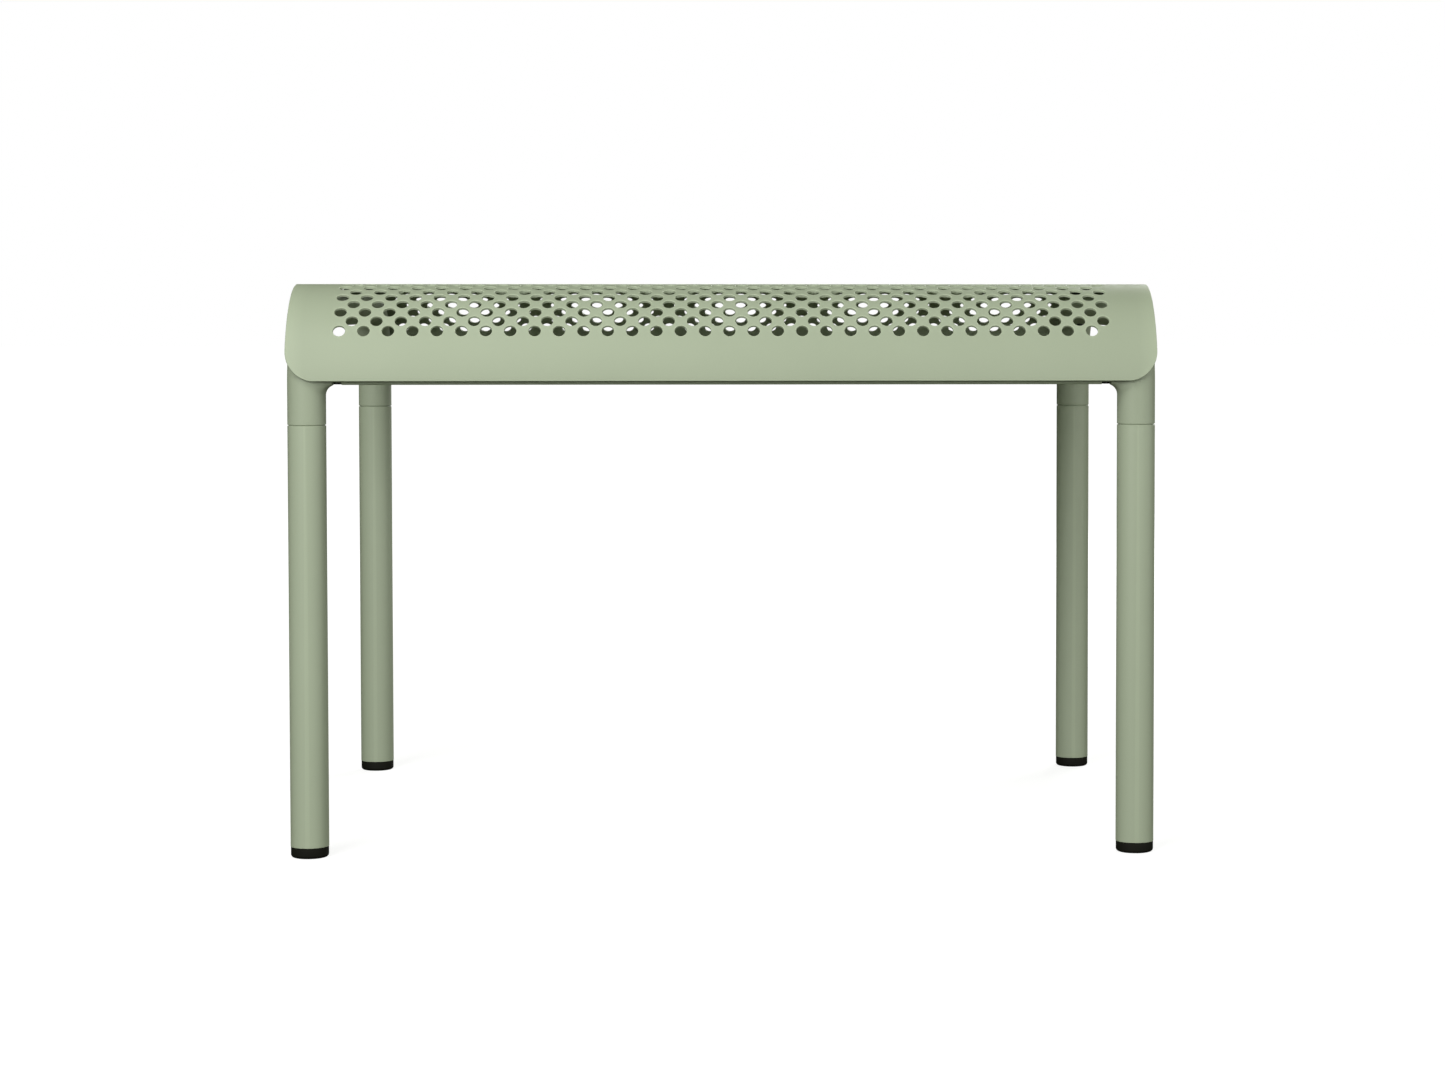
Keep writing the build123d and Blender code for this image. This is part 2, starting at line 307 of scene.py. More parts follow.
# ------------------------------------------------------------------ finishes
@dataclass(frozen=True)
class Finish:
    """A surface finish: colours, gloss and the size of its grain.

    The colours are linear RGB. Scales are repeats per metre. The paler edge colour is part wear
    and, on the seat's hole lips, a painted highlight.
    """

    name: str
    base: tuple
    shade: tuple
    # paler edge colour: wear on sharp edges, painted highlight on the hole lips
    rubbed: tuple
    rough_low: float
    rough_high: float
    metallic: float = 0.0
    specular: float = 0.5
    grain_scale: float = 1500.0
    peel_scale: float = 260.0
    peel_share: float = 0.5
    drift_scale: float = 9.0
    # how much of the paler edge colour (wear and painted highlight) is laid on
    rub: float = 0.3
    bump_height: float = 0.00006
    bump_strength: float = 0.5
    grain_span: tuple = (0.3, 0.7)

    def make(self, grain: Group, tone: Group) -> Material:
        """Build the material.

        Args:
            grain: The surface grain group.
            tone: The colour drift and edge rub group.

        Returns:
            The new material.
        """
        material = bpy.data.materials.new(self.name)
        tree = empty_tree(material)
        place = add_node(tree, "TexCoord").outputs["Object"]
        shape = add_node(tree, "NewGeometry")
        # the seat's hole lips are marked for a painted highlight; Pointiness adds the sharp edges
        # for wear
        highlight_rim = add_node(tree, "Attribute", attribute_name="highlight_rim")
        edge = add_node(
            tree,
            "Math",
            {0: shape.outputs["Pointiness"], 1: highlight_rim.outputs["Fac"]},
            operation="MAXIMUM",
        )
        grained = grain.place(
            tree,
            {
                "Vector": place,
                "Grain Scale": self.grain_scale,
                "Peel Scale": self.peel_scale,
                "Peel Share": self.peel_share,
            },
        )
        toned = tone.place(
            tree,
            {
                "Vector": place,
                "Base": (*self.base, 1),
                "Shade": (*self.shade, 1),
                "Rubbed": (*self.rubbed, 1),
                "Drift Scale": self.drift_scale,
                "Speckle": grained.outputs["Speckle"],
                "Edge": edge.outputs[0],
                "Rub": self.rub,
            },
        )
        height = grained.outputs["Height"]
        rough = map_range(tree, height, self.grain_span, (self.rough_low, self.rough_high))
        bump = add_node(
            tree,
            "Bump",
            {"Strength": self.bump_strength, "Distance": self.bump_height, "Height": height},
        )
        shader = add_node(
            tree,
            "BsdfPrincipled",
            {
                "Base Color": toned.outputs["Color"],
                "Roughness": rough,
                "Metallic": self.metallic,
                "Specular IOR Level": self.specular,
                "Normal": bump.outputs["Normal"],
            },
        )
        add_node(tree, "OutputMaterial", {"Surface": shader.outputs[0]})
        return material


class Palette:
    """All finishes of the bench, each made once."""

    SAGE = (0.394, 0.450, 0.328)

    def __init__(self) -> None:
        """Make the node groups and the materials."""
        grain = make_grain_group()
        tone = make_tone_group()
        self.coat = Finish(
            "sage_powder_coat",
            base=self.SAGE,
            shade=self.sage(0.955),
            rubbed=self.sage(1.26),
            rough_low=0.44, rough_high=0.56, specular=0.26, rub=0.9,
        ).make(grain, tone)
        # a darker copy of the same sage coat: painted shade, so legs, rails and cross tubes read
        # darker than the seat
        self.tube = Finish(
            "sage_coat_painted_shade_tube",
            base=self.sage(0.935),
            shade=self.sage(0.895),
            rubbed=self.sage(1.12),
            rough_low=0.40, rough_high=0.50, specular=0.30, rub=0.6,
        ).make(grain, tone)
        # a darker copy of the same sage coat: painted shade on the castings
        self.cast = Finish(
            "sage_coat_painted_shade_casting",
            base=self.sage(0.935),
            shade=self.sage(0.875),
            rubbed=self.sage(1.09),
            rough_low=0.46, rough_high=0.60, specular=0.30,
            grain_scale=1100.0, peel_scale=420.0, peel_share=0.6, bump_height=0.00012,
        ).make(grain, tone)
        self.plastic = Finish(
            "black_moulded_foot",
            base=(0.0095, 0.0098, 0.0068),
            shade=(0.0066, 0.0068, 0.0048),
            rubbed=(0.022, 0.022, 0.017),
            rough_low=0.55, rough_high=0.70, specular=0.14,
            grain_scale=2200.0, peel_scale=700.0, drift_scale=60.0, bump_height=0.00008,
        ).make(grain, tone)
        self.rubber = Finish(
            "black_pad_rubber",
            base=(0.018, 0.018, 0.018),
            shade=(0.012, 0.012, 0.012),
            rubbed=(0.035, 0.035, 0.035),
            rough_low=0.7, rough_high=0.85, specular=0.3,
            grain_scale=2600.0, drift_scale=40.0,
        ).make(grain, tone)
        self.screw = Finish(
            "black_oxide_steel",
            base=(0.022, 0.022, 0.023),
            shade=(0.012, 0.012, 0.012),
            rubbed=(0.10, 0.10, 0.10),
            rough_low=0.34, rough_high=0.5, metallic=0.7,
            grain_scale=3000.0, drift_scale=90.0, rub=0.5,
        ).make(grain, tone)
        self.zinc = Finish(
            "zinc_plate",
            base=(0.60, 0.61, 0.60),
            shade=(0.47, 0.48, 0.48),
            rubbed=(0.75, 0.75, 0.74),
            rough_low=0.25, rough_high=0.42, metallic=1.0,
            grain_scale=2600.0, drift_scale=120.0,
        ).make(grain, tone)

    def sage(self, share: float) -> tuple:
        """Return the sage of the coat, made darker or paler by a share."""
        return tuple(c * share for c in self.SAGE)


def dress(piece: Object, material: Material) -> None:
    """Give a new piece its material."""
    piece.data.materials.clear()
    piece.data.materials.append(material)


def dress_node(name: str, material: Material) -> None:
    """Give a CAD node, whose own shape stays, a better material."""
    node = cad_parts[name]
    for entry in node.material_slots:
        entry.material = material
    if not node.material_slots:
        node.data.materials.append(material)


# ---------------------------------------------------------------- seat sheet
@dataclass
class SeatSheet:
    """The perforated sheet, laid out flat and then bent over both long edges.

    In the flat, x runs along the bench, s from the front to the back edge
    and d down from the outer face.
    """

    thickness: float = 2.0 * MM
    bend_radius: float = 79.0 * MM
    corner_radius: float = 24.0 * MM
    corner_steps: int = 14
    pitch: float = 19.0 * MM
    hole_radius: float = 4.8 * MM
    hole_steps: int = 16
    hole_lip: float = 0.70 * MM
    lip_width_share: float = 0.75
    lip_depth_share: float = 0.6
    stagger_share: float = 0.25
    end_margin: float = 36.0 * MM
    end_strip_share: float = 0.45
    edge_margin: float = 40.0 * MM
    narrowest_strip: float = 1.0 * MM
    lip: float = 0.45 * MM

    def __post_init__(self) -> None:
        """Work out the flat size, the rows and the columns."""
        low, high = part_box("seat_sheet")
        self.half_x = high.x
        self.top = high.z
        self.edge_z = low.z
        self.bend_z = self.top - self.bend_radius
        turn = math.acos((self.edge_z - self.bend_z) / self.bend_radius)
        self.bend_y = high.y - self.bend_radius * math.sin(turn)
        self.half_s = self.bend_y + self.bend_radius * turn
        row_pitch = self.pitch / 2
        self.last_row = int((self.half_s - self.edge_margin) / row_pitch + NEAR)
        self.columns = int((2 * self.half_x - 2 * self.end_margin) / self.pitch)
        self.strip_x = self.half_x - self.end_margin * self.end_strip_share
        self.points: list = []
        self.normals: list = []
        self.highlight_rims: list = []
        self.faces: list = []
        self.known: dict = {}

    # ---- from the flat to the bent shape
    def bend(self, x: float, s: float, d: float) -> tuple:
        """Return the bent place of a point of the flat sheet."""
        reach = abs(s) - self.bend_y
        if reach <= 0:
            return (x, s, self.top - d)
        a = reach / self.bend_radius
        r = self.bend_radius - d
        y = self.bend_y + r * math.sin(a)
        return (x, math.copysign(1, s) * y, self.bend_z + r * math.cos(a))

    def turn(self, s: float, normal: tuple) -> tuple:
        """Return a flat normal (x, s, outward) turned with the sheet at s."""
        reach = abs(s) - self.bend_y
        a = 0.0 if reach <= 0 else math.copysign(reach / self.bend_radius, s)
        nx, ns, no = normal
        return (nx, ns * math.cos(a) + no * math.sin(a), -ns * math.sin(a) + no * math.cos(a))

    # ---- shared points and faces
    def point(self, x: float, s: float, d: float) -> int:
        """Return the index of a point of the flat sheet, made only once."""
        key = (round(x * MICRONS), round(s * MICRONS), round(d * MICRONS))
        if key not in self.known:
            self.known[key] = len(self.points)
            self.points.append((x, s, d))
        return self.known[key]

    def face(self, corners: list, normals: list, highlight_rim: float = 0.0) -> None:
        """Add a face with a flat normal for each corner, without repeats.

        Args:
            corners: Point indices.
            normals: One (x, s, outward) normal for each corner.
            highlight_rim: How much painted highlight the face gets, as on the lip round a hole.
        """
        kept, kept_normals = [], []
        for corner, normal in zip(corners, normals):
            if corner not in kept:
                kept.append(corner)
                kept_normals.append(normal)
        if len(kept) > 2:
            self.faces.append(kept)
            self.highlight_rims.extend([highlight_rim] * len(kept))
            self.normals.extend(self.turn(self.points[c][1], n) for c, n in zip(kept, kept_normals))

    def skin(self, side: int, corners: list) -> None:
        """Add the same plain patch to the outer and the inner face.

        Args:
            side: -1 or 1; on the positive side the corners run the other way.
            corners: (x, s) pairs.
        """
        if side > 0:
            corners = corners[::-1]
        up, down = (0, 0, 1), (0, 0, -1)
        outer = [self.point(x, s, 0) for x, s in corners]
        self.face(outer, [up] * len(outer))
        inner = [self.point(x, s, self.thickness) for x, s in reversed(corners)]
        self.face(inner, [down] * len(inner))

    # ---- perforation
    def row_start(self, row: int) -> float:
        """Return the x of the first hole of a row."""
        share = self.stagger_share
        stagger = -share if (row + self.last_row) % 2 == 0 else share
        return (stagger - (self.columns - 1) / 2) * self.pitch

    def add_cell(self, x: float, s: float) -> None:
        """Add one hole with the diamond of sheet round it."""
        n, half = self.hole_steps, self.pitch / 2
        angles = [2 * math.pi * i / n for i in range(n)]
        cosines = [(math.cos(a), math.sin(a)) for a in angles]
        diamond = []
        for c, q in cosines:
            far = half / (abs(c) + abs(q))
            diamond.append((x + far * c, s + far * q))
        bore, depth = self.hole_radius, self.hole_lip * self.lip_depth_share
        wide = bore + self.hole_lip * self.lip_width_share
        top = [self.point(x + wide * c, s + wide * q, 0) for c, q in cosines]
        edge = [self.point(x + bore * c, s + bore * q, depth) for c, q in cosines]
        low = [self.point(x + bore * c, s + bore * q, self.thickness) for c, q in cosines]
        outer = [self.point(px, ps, 0) for px, ps in diamond]
        inner = [self.point(px, ps, self.thickness) for px, ps in diamond]
        up, down = (0, 0, 1), (0, 0, -1)
        for i in range(n):
            j = (i + 1) % n
            wi = (-cosines[i][0], -cosines[i][1], 0)
            wj = (-cosines[j][0], -cosines[j][1], 0)
            self.face([outer[i], outer[j], top[j], top[i]], [up] * 4)
            # the lip faces carry the painted highlight that pales the edge of each hole
            self.face([top[i], top[j], edge[j], edge[i]], [up, up, wj, wi], 1.0)
            self.face([edge[i], edge[j], low[j], low[i]], [wi, wj, wj, wi])
            self.face([low[i], low[j], inner[j], inner[i]], [down] * 4)

    def steps_in_cell(self) -> list:
        """Return the offsets, from 0 to half a pitch, of a diamond's edge points."""
        half = self.pitch / 2
        quarter = self.hole_steps // 4
        offsets = []
        for i in range(quarter + 1):
            a = math.pi / 2 * i / quarter
            offsets.append(half * math.sin(a) / (math.cos(a) + math.sin(a)))
        return offsets

    # ---- plain margins
    def outline_x(self, s: float) -> float:
        """Return the half length of the sheet at s, in the rounded corners too."""
        reach = max(0.0, abs(s) - self.bend_y)
        z = self.bend_z + self.bend_radius * math.cos(reach / self.bend_radius)
        height = z - self.edge_z
        if reach == 0 or height >= self.corner_radius:
            return self.half_x
        drop = self.corner_radius - max(0.0, height)
        inset = self.corner_radius - math.sqrt(max(0.0, self.corner_radius**2 - drop**2))
        return self.half_x - inset

    def corner_levels(self) -> list:
        """Return the s of each step round a lower corner, down to the edge."""
        levels = []
        for i in range(self.corner_steps + 1):
            a = math.pi / 2 * i / self.corner_steps
            z = self.edge_z + self.corner_radius * (1 - math.sin(a))
            cosine = min(1.0, (z - self.bend_z) / self.bend_radius)
            levels.append(self.bend_y + self.bend_radius * math.acos(cosine))
        return levels

    def add_end_margins(self) -> None:
        """Add the plain strips between the end rows of diamonds and the ends."""
        half = self.pitch / 2
        first = -self.last_row * half
        wide = -self.row_start(-self.last_row) + half
        offsets = self.steps_in_cell()
        levels = [first - half + o for o in offsets[:-1]]
        for row in range(-self.last_row, self.last_row + 1):
            levels += [row * half + o for o in offsets[:-1]]
        levels += [-(first - half), self.last_row * half]
        levels = sorted({round(v, 9) for v in levels})

        def left(s: float) -> float:
            """Return the x where the diamonds begin at s."""
            away = abs((s - first + half) % (2 * half) - half)
            return -wide + away

        def right(s: float) -> float:
            """Return the x where the diamonds end at s."""
            if abs(s) > -first:
                return wide - half - (abs(s) + first)
            away = abs((s - first + half) % (2 * half) - half)
            return wide - half + away

        for low, high in zip(levels, levels[1:]):
            for side, inner in ((-1, left), (1, right)):
                end, mid = side * (self.half_x - self.lip), side * self.strip_x
                self.skin(side, [(end, low), (mid, low), (mid, high), (end, high)])
                self.skin(side, [(mid, low), (inner(low), low), (inner(high), high), (mid, high)])

    def add_aprons(self) -> None:
        """Add the plain lower part of both aprons, down to the edge."""
        half = self.pitch / 2
        line_s = self.last_row * half + half
        start = self.row_start(-self.last_row)
        stop = start + (self.columns - 1) * self.pitch
        offsets = self.steps_in_cell()
        xs = [start - half]
        for column in range(self.columns):
            x = start + column * self.pitch
            xs += [x - half + o for o in offsets[1:]]
            xs += [x + o for o in offsets[1:]]

        def pattern_s(x: float) -> float:
            """Return how far out the diamonds reach at x."""
            away = abs((x - start + half) % (2 * half) - half)
            return line_s - away

        for side in (-1, 1):
            for a, b in zip(xs, xs[1:]):
                if a < start or b > stop:
                    continue
                line, far_a, far_b = side * line_s, side * pattern_s(a), side * pattern_s(b)
                self.skin(side, [(a, line), (b, line), (b, far_b), (a, far_a)])
        last = self.half_s - self.lip
        steps = [v for v in self.corner_levels()[:-1] if line_s + NEAR < v < last - NEAR]
        levels = [line_s, *steps, last]
        inside = [x for x in xs if start - EXACT <= x <= stop + EXACT]
        for side in (-1, 1):
            for low, high in zip(levels, levels[1:]):
                rows = []
                for s in (low, high):
                    x_end, x_mid = self.outline_x(s) - self.lip, self.strip_x
                    if s > line_s + EXACT:
                        x_mid = min(x_mid, x_end - self.narrowest_strip)
                    rows.append([-x_end, -x_mid, *inside, x_mid, x_end])
                upper, lower = rows
                for i in range(len(upper) - 1):
                    self.skin(
                        side,
                        [
                            (lower[i], side * high),
                            (lower[i + 1], side * high),
                            (upper[i + 1], side * low),
                            (upper[i], side * low),
                        ],
                    )

    def outer_loop(self) -> list:
        """Return the points of the outer face's open edge, in order."""
        edges = dict.fromkeys(
            (a, b) for face in self.faces for a, b in zip(face, face[1:] + face[:1])
        )
        outer = {a: b for a, b in edges if (b, a) not in edges and self.points[a][2] == 0}
        start = min(outer, key=lambda i: (self.points[i][0], self.points[i][1]))
        loop = [start]
        while outer[loop[-1]] != start:
            loop.append(outer[loop[-1]])
        return loop

    def add_rim(self) -> None:
        """Close the outer edge with a rounded lip all the way round."""
        loop = self.outer_loop()
        flat = np.array([self.points[i][:2] for i in loop])
        ahead = np.roll(flat, -1, 0) - np.roll(flat, 1, 0)
        length = np.linalg.norm(ahead, axis=1, keepdims=True)
        ahead = ahead / np.maximum(length, EXACT)
        away = np.stack([ahead[:, 1], -ahead[:, 0]], 1)
        out = flat + away * self.lip
        n = len(loop)
        high = [self.point(*out[i], self.lip) for i in range(n)]
        low = [self.point(*out[i], self.thickness - self.lip) for i in range(n)]
        inner = [self.point(*flat[i], self.thickness) for i in range(n)]
        up, down = (0, 0, 1), (0, 0, -1)
        for i in range(n):
            j = (i + 1) % n
            ni, nj = (*away[i], 0), (*away[j], 0)
            self.face([loop[j], loop[i], high[i], high[j]], [up, up, ni, nj])
            self.face([high[j], high[i], low[i], low[j]], [nj, ni, ni, nj])
            self.face([low[j], low[i], inner[i], inner[j]], [nj, ni, down, down])

    def build(self, palette: Palette) -> None:
        """Build the whole sheet, in the place of its CAD node.

        Args:
            palette: The finishes.
        """
        for row in range(-self.last_row, self.last_row + 1):
            start = self.row_start(row)
            for column in range(self.columns):
                self.add_cell(start + column * self.pitch, row * self.pitch / 2)
        self.add_end_margins()
        self.add_aprons()
        self.add_rim()
        mesh = bpy.data.meshes.new("perforated_seat")
        mesh.from_pydata([self.bend(*p) for p in self.points], [], self.faces)
        mesh.shade_smooth()
        mesh.normals_split_custom_set(self.normals)
        # mark the hole lips for the painted highlight in the coat's colour
        highlight_rim = mesh.attributes.new("highlight_rim", "FLOAT", "CORNER")
        highlight_rim.data.foreach_set("value", self.highlight_rims)
        piece = add_piece("perforated_seat", mesh)
        dress(piece, palette.coat)
        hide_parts("seat_sheet")
        LOG.info("seat sheet: %d points, %d faces", len(self.points), len(self.faces))


# ---------------------------------------------------------------------- legs
@dataclass(frozen=True)
class Seam:
    """The fine groove between a leg and its casting.

    Each step is how deep it lies under the skin and how far from the seam.
    """

    start: float = 0.55 * MM
    steps: tuple = ((0.10 * MM, 0.42 * MM), (0.95 * MM, 0.15 * MM), (1.05 * MM, 0.0))


@dataclass
class Legs:
    """The four leg tubes and their feet."""

    seam: Seam
    wall: float = 2.0 * MM
    tube_chamfer: float = 0.2 * MM
    foot_edge: float = 2.6 * MM
    foot_top_edge: float = 0.35 * MM
    arc_steps: int = 8
    round_steps: int = 96

    def tube_profile(self, radius: float, low: float, high: float) -> list:
        """Return a leg's half section, with the groove at its seam.

        Args:
            radius: Outer radius of the tube.
            low: Height of its lower end.
            high: Height of the seam.

        Returns:
            (radius, z) pairs.
        """
        bore = radius - self.wall
        return [
            (bore, low),
            (radius - self.tube_chamfer, low),
            (radius, low + self.tube_chamfer),
            (radius, high - self.seam.start),
            *((radius - sink, high - drop) for sink, drop in self.seam.steps),
            (bore, high),
            (bore, low),
        ]

    def foot_profile(self, radius: float, low: float, high: float) -> list:
        """Return a foot's half section, with its rounded lower edge.

        Args:
            radius: Radius of the foot.
            low: Height of its underside.
            high: Height of its top.

        Returns:
            (radius, z) pairs.
        """
        edge = self.foot_edge
        profile = [(0, low), (radius - edge, low)]
        for i in range(1, self.arc_steps + 1):
            a = math.pi / 2 * i / self.arc_steps
            profile.append((radius - edge + edge * math.sin(a), low + edge * (1 - math.cos(a))))
        return profile + [
            (radius, high - self.foot_top_edge), (radius - self.foot_top_edge, high), (0, high)
        ]

    def build(self, palette: Palette) -> None:
        """Build all legs and feet.

        Args:
            palette: The finishes.
        """
        for corner in Corner:
            name = corner.node
            low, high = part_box(f"leg_{name}")
            centre = ((low.x + high.x) / 2, (low.y + high.y) / 2)
            shape = Shape()
            profile = self.tube_profile((high.x - low.x) / 2, low.z, high.z)
            shape.lathe(profile, centre, self.round_steps)
            leg = shape.build(f"leg_tube_{name}")
            dress(leg, palette.tube)
            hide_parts(f"leg_{name}")
            low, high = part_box(f"foot_{name}")
            shape = Shape()
            profile = self.foot_profile((high.x - low.x) / 2, low.z, high.z)
            shape.lathe(profile, centre, self.round_steps)
            foot = shape.build(f"foot_cap_{name}")
            dress(foot, palette.plastic)
            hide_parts(f"foot_{name}")
            LOG.info("leg and foot %s", name)


# ------------------------------------------------------------------ castings
@dataclass
class Casting:
    """Corner casting: an elbow whose arm grows out of it with a deep fillet.

    Its skin is the zero surface of a distance field, worked out for the front
    left corner and mirrored to the others.
    """

    seam: Seam
    fillet: float = 8.2 * MM
    arm_corner: float = 2.0 * MM
    arm_out: float = 20.0 * MM  # middle of the arm's block, from the leg's axis
    arm_overrun: float = 5.0 * MM  # past the end that is cut off
    neck_length: float = 7.4 * MM
    neck_recess: float = 2.0 * MM
    recess_half_y: float = 20.0 * MM
    recess_half_z: float = 10.0 * MM
    recess_edge: float = 0.5 * MM
    cell: float = 0.75 * MM
    margin: float = 2.0 * MM  # of the net round the casting
    probe: float = 0.02 * MM  # step of the slope, and how near the skin is
    settle_rounds: int = 4
    cap_corners: int = 12  # faces with as many corners close an end

    def __post_init__(self) -> None:
        """Take the places from the frame."""
        low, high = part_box("leg_front_left")
        self.radius = (high.x - low.x) / 2
        self.leg = np.array([(low.x + high.x) / 2, (low.y + high.y) / 2])
        self.seam_z = high.z
        low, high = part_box("cross_tube_left")
        self.tube_y = low.y
        self.cross_z = (low.z + high.z) / 2
        self.elbow = self.tube_y - self.leg[1]
        self.bend_z = self.cross_z - self.elbow
        low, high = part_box("rail_front")
        self.rail_x = low.x
        middle_x = self.leg[0] + self.arm_out
        self.arm_middle = np.array([middle_x, self.leg[1], (low.z + high.z) / 2])
        reach = self.rail_x + self.arm_overrun - middle_x
        self.arm_half = np.array([reach, (high.y - low.y) / 2, (high.z - low.z) / 2])
        recess_z = low.z - self.recess_half_z + self.neck_recess
        recess_x = self.rail_x - self.neck_length / 2
        self.recess_middle = np.array([recess_x, self.leg[1], recess_z])
        self.recess_half = np.array([self.neck_length / 2, self.recess_half_y, self.recess_half_z])

    @staticmethod
    def box_distance(points: np.ndarray, middle: np.ndarray, half: np.ndarray) -> np.ndarray:
        """Return the signed distance of points to a box, negative inside."""
        q = np.abs(points - middle) - half
        outside = np.linalg.norm(np.maximum(q, 0), axis=-1)
        return outside + np.minimum(q.max(-1), 0)

    def distance(self, points: np.ndarray) -> np.ndarray:
        """Return the signed distance of points to the casting's skin."""
        x, y, z = points[..., 0], points[..., 1], points[..., 2]
        ring = np.abs(np.hypot(y - self.tube_y, z - self.bend_z) - self.elbow)
        upright = np.abs(y - self.leg[1])
        level = np.abs(z - self.cross_z)
        away = np.where(y > self.tube_y, level, np.where(z < self.bend_z, upright, ring))
        tube = np.hypot(x - self.leg[0], away) - self.radius
        block = self.box_distance(points, self.arm_middle, self.arm_half - self.arm_corner)
        arm = block - self.arm_corner
        f = self.fillet
        shared = np.hypot(np.maximum(f - tube, 0), np.maximum(f - arm, 0))
        joined = np.maximum(f, np.minimum(tube, arm)) - shared
        recess = -self.box_distance(points, self.recess_middle, self.recess_half)
        e = self.recess_edge
        shared = np.hypot(np.maximum(e + joined, 0), np.maximum(e + recess, 0))
        return np.minimum(-e, np.maximum(joined, recess)) + shared

    def gradient(self, points: np.ndarray) -> np.ndarray:
        """Return the unit directions in which the distance grows."""
        steps = np.eye(3) * self.probe
        slope = np.stack([self.distance(points + s) - self.distance(points - s) for s in steps], -1)
        length = np.linalg.norm(slope, axis=-1, keepdims=True)
        return slope / np.maximum(length, 1e-12)

    def crossings(self, grid: np.ndarray, values: np.ndarray) -> tuple:
        """Find where the skin crosses the edges of each cell of the grid.

        Args:
            grid: Places of the grid.
            values: Their distances.

        Returns:
            The sum of the crossing places of each cell, and how many there are.
        """
        shape = np.array(values.shape) - 1
        total = np.zeros((*shape, 3))
        count = np.zeros(tuple(shape), int)
        for axis in range(3):
            for i, j in ((0, 0), (0, 1), (1, 0), (1, 1)):
                start = [0, 0, 0]
                start[(axis + 1) % 3] = i
                start[(axis + 2) % 3] = j
                far = list(start)
                far[axis] += 1
                near_cut = tuple(slice(p, p + n) for p, n in zip(start, shape))
                far_cut = tuple(slice(p, p + n) for p, n in zip(far, shape))
                va, vb = values[near_cut], values[far_cut]
                crossed = (va < 0) != (vb < 0)
                share = np.where(crossed, va / np.where(crossed, va - vb, 1), 0)
                place = grid[near_cut] + share[..., None] * (grid[far_cut] - grid[near_cut])
                total += np.where(crossed[..., None], place, 0)
                count += crossed
        return total, count

    def net(self) -> tuple:
        """Return the vertices and quads of the skin, open at its three ends."""
        reach = self.radius + self.margin
        low = (self.leg[0] - reach, self.leg[1] - reach, self.seam_z - self.margin)
        high = (self.rail_x + self.margin, self.tube_y + self.margin, self.cross_z + reach)
        axes = [np.arange(a, b, self.cell) for a, b in zip(low, high)]
        grid = np.stack(np.meshgrid(*axes, indexing="ij"), -1)
        values = self.distance(grid)
        total, count = self.crossings(grid, values)
        used, shape = count > 0, count.shape
        number = -np.ones(shape, int)
        number[used] = np.arange(used.sum())
        points = total[used] / count[used][:, None]
        for _ in range(self.settle_rounds):
            points = points - self.distance(points)[:, None] * self.gradient(points)
        inside, quads = values < 0, []
        for axis in range(3):
            b, c = (axis + 1) % 3, (axis + 2) % 3
            near_cut = [slice(0, n) for n in shape]
            near_cut[b] = slice(1, shape[b])
            near_cut[c] = slice(1, shape[c])
            far_cut = list(near_cut)
            far_cut[axis] = slice(1, shape[axis] + 1)
            here, there = inside[tuple(near_cut)], inside[tuple(far_cut)]
            for turned in (False, True):
                spots = np.argwhere((there & ~here) if turned else (here & ~there))
                ring = []
                for db, dc in ((0, 0), (1, 0), (1, 1), (0, 1)):
                    cell = spots.copy()
                    cell[:, b] += db
                    cell[:, c] += dc
                    ring.append(number[cell[:, 0], cell[:, 1], cell[:, 2]])
                quad = np.stack(ring, 1)
                quads.append(quad[:, ::-1] if turned else quad)
        return points, np.concatenate(quads)

    def groove(self, bm: bmesh.types.BMesh, edges: list) -> list:
        """Run the skin's lower end into the seam's groove.

        Args:
            bm: The casting's mesh.
            edges: Edges of its lower end.

        Returns:
            The edges of the new lower end.
        """
        axis = Vector(self.leg)
        for sink, lift in self.seam.steps:
            made = bmesh.ops.extrude_edge_only(bm, edges=edges)["geom"]
            edges = [e for e in made if isinstance(e, bmesh.types.BMEdge)]
            for vert in {v for e in edges for v in e.verts}:
                away = (Vector(vert.co.xy) - axis).normalized() * (self.radius - sink)
                vert.co = (*(axis + away), self.seam_z + lift)
        return edges

    def trim(self, mesh: Mesh) -> None:
        """Cut the skin at its three ends, groove the seam and close the ends.

        Args:
            mesh: The open skin, which is changed.
        """
        bm = bmesh.new()
        bm.from_mesh(mesh)
        ends = (
            ((self.rail_x, 0, 0), (1, 0, 0)),
            ((0, self.tube_y, 0), (0, 1, 0)),
            ((0, 0, self.seam_z + self.seam.start), (0, 0, -1)),
        )
        for place, normal in ends:
            cut = bmesh.ops.bisect_plane(
                bm,
                geom=bm.verts[:] + bm.edges[:] + bm.faces[:],
                dist=1e-7,
                plane_co=place,
                plane_no=normal,
                clear_outer=True,
            )
            edges = [e for e in cut["geom_cut"] if isinstance(e, bmesh.types.BMEdge)]
            if normal[2]:
                edges = self.groove(bm, edges)
            bmesh.ops.edgeloop_fill(bm, edges=edges)
        bmesh.ops.recalc_face_normals(bm, faces=bm.faces[:])
        bm.to_mesh(mesh)
        bm.free()

    def first_corner(self) -> tuple:
        """Return the front left casting's places, faces and corner normals."""
        points, quads = self.net()
        mesh = bpy.data.meshes.new("casting_first")
        mesh.from_pydata(points.tolist(), [], quads.tolist())
        self.trim(mesh)
        places = np.empty(len(mesh.vertices) * 3)
        mesh.vertices.foreach_get("co", places)
        places = places.reshape(-1, 3)
        slopes = self.gradient(places)
        on_skin = np.abs(self.distance(places)) < self.probe
        faces, normals = [], []
        for face in mesh.polygons:
            ring, flat = list(face.vertices), tuple(face.normal)
            smooth = len(ring) < self.cap_corners and all(on_skin[v] for v in ring)
            faces.append(ring)
            normals.append([tuple(slopes[v]) if smooth else flat for v in ring])
        bpy.data.meshes.remove(mesh)
        return places, faces, normals

